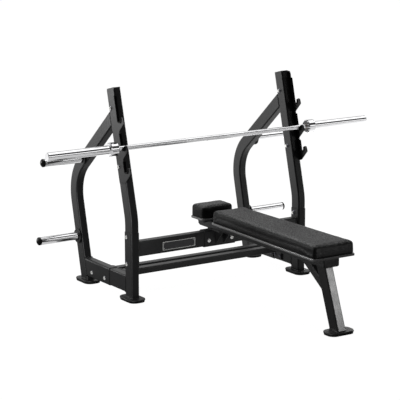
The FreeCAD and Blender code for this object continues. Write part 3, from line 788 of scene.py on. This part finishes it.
def under_boards():
    """The cover is folded under each board and stapled all round, clear of the brackets."""
    folds, staples = Parts(), Parts()
    drop = Vector((0, 0, -1.2 * MM))
    half_staple, staple_pitch = 5.5 * MM, 38 * MM
    brackets = [(shell["low"].y + shell["high"].y) / 2 for shell in shells("pad_brackets")]
    for node in ("main_pad_board", "head_pad_board"):
        folds.add(*flat_ring(board_corners(node, 7 * MM), board_corners(node, 30 * MM), drop))
        line = board_corners(node, 20 * MM)
        for a, b in zip(line, line[1:] + line[:1]):
            along = (b - a).normalized()
            count = round((b - a).length / staple_pitch)
            for i in range(1, count):
                spot = a.lerp(b, i / count) + drop
                if min(abs(spot.y - y) for y in brackets) > 42 * MM:
                    staples.add(*rod(spot - along * half_staple, spot + along * half_staple, 0.6 * MM))
    folds.made("cover_folds", "vinyl")
    staples.made("cover_staples", "zinc")


def collar_screws():
    """Three low socket screws round each collar, near its outer chamfer."""
    rim = [(3.4 * MM, -2.0 * MM), (3.4 * MM, 0.25 * MM), (3.0 * MM, 0.45 * MM)]
    socket = [(1.7 * MM, 0.45 * MM), (1.6 * MM, -0.9 * MM), (0.1 * MM, -0.9 * MM)]
    for side, sign in (("left", -1), ("right", 1)):
        low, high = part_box("bar_sleeve_" + side)
        centre = middle("bar_sleeve_" + side)
        centre.x = (high.x if sign < 0 else low.x) + sign * 44 * MM
        radius = (high.z - low.z) / 2
        screws = Parts()
        for turn in (150, 270, 30):
            out = Vector((0, -math.sin(math.radians(turn)), math.cos(math.radians(turn))))
            screws.add(*lathe(rim + socket, centre + out * radius, out, 24))
        screws.made("collar_screws_" + side, "spring_steel", "sleeve_" + side)


def peg_beads():
    """The pegs are welded into their flanges."""
    beads = Parts()
    for level in ("lower", "upper"):
        for side in ("left", "right"):
            peg = f"storage_peg_{level}_{side}"
            low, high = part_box(peg)
            centre = middle(peg)
            centre.x = high.x if side == "left" else low.x
            radius = (high.z - low.z) / 2
            beads.add(*weld(loop_at(centre, REAR, UP, 2 * radius, 2 * radius, radius), 2.2 * MM))
    beads.made("peg_beads", "flange_black")


frame_welds()
washers()
name_plate_trim()
under_boards()
collar_screws()
peg_beads()


# ==== light, floor and camera =============================================================
def area_light(name, at, aim, size, power):
    """A soft box that shines from one place to another and is not seen by the camera."""
    light = bpy.data.lights.new(name, "AREA")
    light.shape = "RECTANGLE"
    light.size, light.size_y = size
    light.energy = power
    made = bpy.data.objects.new(name, light)
    made.location = at
    made.rotation_euler = (Vector(aim) - Vector(at)).to_track_quat("-Z", "Y").to_euler()
    made.visible_camera = False
    scene.collection.objects.link(made)
    return made


def linked(light, pieces, state):
    """Let a lamp shine on some pieces alone, or on all but them."""
    group = bpy.data.collections.new(light.name + "_link")
    for made in pieces:
        group.objects.link(made)
    for member in group.collection_objects:
        member.light_linking.link_state = state
    light.light_linking.receiver_collection = group


def with_slots(slots):
    """The CAD nodes and the added pieces that have one of the material slots."""
    found = [nodes[row["node"]] for row in frame["record"]["subparts"] if row["material_slot"] in slots]
    return found + [made for made in scene.objects if made.get("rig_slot") in slots]


def graded(tree, along, stops):
    """A background that brightens towards a direction, by (position, level) stops."""
    place = tree.nodes.new("ShaderNodeTexCoord")
    turned = tree.nodes.new("ShaderNodeVectorMath")
    turned.operation = "DOT_PRODUCT"
    tree.links.new(place.outputs["Generated"], turned.inputs[0])
    turned.inputs[1].default_value = Vector(along).normalized()
    span = tree.nodes.new("ShaderNodeMapRange")
    span.inputs["From Min"].default_value = -1.0
    tree.links.new(turned.outputs["Value"], span.inputs["Value"])
    ramp = tree.nodes.new("ShaderNodeValToRGB")
    tree.links.new(span.outputs["Result"], ramp.inputs["Fac"])
    set_stops(ramp, [(position, grey(level)) for position, level in stops])
    glow = tree.nodes.new("ShaderNodeBackground")
    tree.links.new(ramp.outputs["Color"], glow.inputs["Color"])
    return glow.outputs[0]


def chosen(tree, ray, otherwise, when):
    """One shader for rays of a kind and another for the rest."""
    seen = tree.nodes.new("ShaderNodeLightPath")
    pick = tree.nodes.new("ShaderNodeMixShader")
    tree.links.new(seen.outputs[ray], pick.inputs["Fac"])
    tree.links.new(otherwise, pick.inputs[1])
    tree.links.new(when, pick.inputs[2])
    return pick.outputs[0]


def studio():
    """A dim room: graded light on the object, paler walls in polished metal, white to the eye."""
    world = bpy.data.worlds.new("studio")
    scene.world = world
    world.use_nodes = True
    tree = world.node_tree
    tree.nodes.clear()
    fill_levels = [(0.0, 0.03), (0.40, 0.05), (0.58, 0.10), (0.72, 0.30), (1.0, 0.60)]
    wall_levels = [(0.0, 0.02), (0.35, 0.03), (0.60, 0.12), (0.80, 0.35), (0.90, 0.60), (1.0, 0.60)]
    fill = graded(tree, (-0.15, 0.75, 0.65), fill_levels)
    walls = graded(tree, (0.0, 0.85, 0.53), wall_levels)
    room = chosen(tree, "Is Glossy Ray", fill, walls)
    paper = tree.nodes.new("ShaderNodeBackground")
    paper.inputs["Color"].default_value = (1.0, 1.0, 1.0, 1.0)
    out = tree.nodes.new("ShaderNodeOutputWorld")
    tree.links.new(chosen(tree, "Is Camera Ray", room, paper.outputs[0]), out.inputs["Surface"])


def glowing(tree, level):
    """A plain white glow."""
    glow = tree.nodes.new("ShaderNodeEmission")
    glow.inputs["Color"].default_value = (1.0, 1.0, 1.0, 1.0)
    glow.inputs["Strength"].default_value = level
    return glow.outputs[0]


def rising(tree, along, start, end, low, high):
    """A level that rises with the distance along a direction."""
    place = tree.nodes.new("ShaderNodeTexCoord")
    reach = tree.nodes.new("ShaderNodeVectorMath")
    reach.operation = "DOT_PRODUCT"
    tree.links.new(place.outputs["Object"], reach.inputs[0])
    reach.inputs[1].default_value = along
    level = tree.nodes.new("ShaderNodeMapRange")
    for name, value in (("From Min", start), ("From Max", end), ("To Min", low), ("To Max", high)):
        level.inputs[name].default_value = value
    tree.links.new(reach.outputs["Value"], level.inputs["Value"])
    return level.outputs["Result"]


def paper_floor():
    """A pale floor that keeps faint contact shadows and is bright in polished metal."""
    material = bpy.data.materials.new("paper_floor")
    material.use_nodes = True
    tree = material.node_tree
    tree.nodes.clear()
    diffuse = tree.nodes.new("ShaderNodeBsdfDiffuse")
    diffuse.inputs["Color"].default_value = (0.10, 0.10, 0.10, 1.0)
    both = tree.nodes.new("ShaderNodeAddShader")
    tree.links.new(diffuse.outputs[0], both.inputs[0])
    paper_white = 0.978
    tree.links.new(glowing(tree, paper_white), both.inputs[1])
    # In polished metal the paper gets brighter to the rear and to the right.
    level = tree.nodes.new("ShaderNodeMath")
    tree.links.new(rising(tree, (0.6, 0.8, 0.0), 0.2, 2.6, 0.13, 1.2), level.inputs[0])
    tree.links.new(rising(tree, (0.9, 0.44, 0.0), 0.9, 2.4, 0.0, 0.5), level.inputs[1])
    shine = tree.nodes.new("ShaderNodeEmission")
    tree.links.new(level.outputs[0], shine.inputs["Strength"])
    dim = chosen(tree, "Is Glossy Ray", diffuse.outputs[0], shine.outputs[0])
    out = tree.nodes.new("ShaderNodeOutputMaterial")
    tree.links.new(chosen(tree, "Is Camera Ray", dim, both.outputs[0]), out.inputs["Surface"])
    mesh = bpy.data.meshes.new("floor")
    reach = 30.0
    corners = [(-reach, -reach, 0), (reach, -reach, 0), (reach, reach, 0), (-reach, reach, 0)]
    mesh.from_pydata(corners, [], [(0, 1, 2, 3)])
    mesh.materials.append(material)
    floor = bpy.data.objects.new("floor", mesh)
    scene.collection.objects.link(floor)


def camera():
    """A long lens from the front left, above the uprights, without shift."""
    data = bpy.data.cameras.new("camera")
    data.sensor_width = 36.0
    data.lens = 166.82
    data.clip_end = 200.0
    made = bpy.data.objects.new("camera", data)
    made.location = (-5.8122, -8.5254, 2.8301)
    made.rotation_euler = (math.radians(77.63), math.radians(0.082), math.radians(-32.89))
    scene.collection.objects.link(made)
    scene.camera = made


def lamps():
    """Each soft box shines on what it is meant for: the metal, the paint, the pads or the leg."""
    metal = with_slots(("chrome", "chrome_cap", "bar_steel", "zinc"))
    pads = with_slots(("vinyl",))
    painted = with_slots(("frame_paint", "hook_paint"))
    leg = nodes["bench_leg"]
    left_frame = [
        made for made in with_slots(("frame_paint",))
        if made != leg and not made.name.endswith("_right")
    ]
    front_nodes = ("beam_front_cap", "bench_leg", "upper_crossbar", "lower_crossbar_front",
                   "lower_crossbar_rear", "saddle_bracket", "name_plate")
    front_faces = pads + [nodes[name] for name in front_nodes]

    # name, place, aim, size, watts, whether it shines on the pieces or on all others, the pieces
    boxes = (
        ("left_key", (-2.9, 2.75, 1.2), (-0.5, 0.4, 1.1), (1.3, 0.9), 32.0, "EXCLUDE", metal),
        ("overhead", (0.3, 1.8, 3.6), (0.0, 0.0, 0.3), (2.0, 2.0), 60.0, "EXCLUDE", metal),
        ("corner_strip", (-2.0, -1.0, 0.65), (0.0, 0.3, 0.65), (1.7, 1.2), 24.0, "INCLUDE", left_frame),
        ("leg_box", (0.9, -2.05, 0.8), (0.0, -0.9, 0.2), (0.55, 0.45), 17.0, "INCLUDE", [leg]),
        ("right_edge", (4.0, -1.3, 0.8), (0.0, -0.2, 0.6), (3.2, 1.4), 24.0, "INCLUDE", painted),
        ("rear_edge", (3.9, 2.3, 0.9), (0.0, 0.0, 0.6), (0.9, 2.4), 55.0, "INCLUDE", painted),
        ("bench_front", (0.7, -3.6, 0.75), (0.0, -0.8, 0.4), (1.8, 0.9), 30.0, "INCLUDE", front_faces),
        ("metal_floor", (0.0, 0.0, 0.004), (0.0, 0.0, 1.0), (9.0, 9.0), 120.0, "INCLUDE", metal),
        ("metal_roof", (2.6, 0.3, 4.0), (2.6, 0.3, 0.9), (8.0, 3.0), 90.0, "INCLUDE", metal),
        ("metal_front", (3.0, -5.0, 2.3), (3.0, 0.0, 2.3), (9.0, 1.8), 60.0, "INCLUDE", metal),
        ("metal_left", (-6.0, -1.0, 1.9), (0.0, -1.0, 1.9), (6.0, 2.4), 36.0, "INCLUDE", metal),
    )
    for name, place, aim, size, watts, state, pieces in boxes:
        linked(area_light(name, place, aim, size, watts), pieces, state)


studio()
paper_floor()
camera()
lamps()
scene.view_settings.view_transform = "Standard"
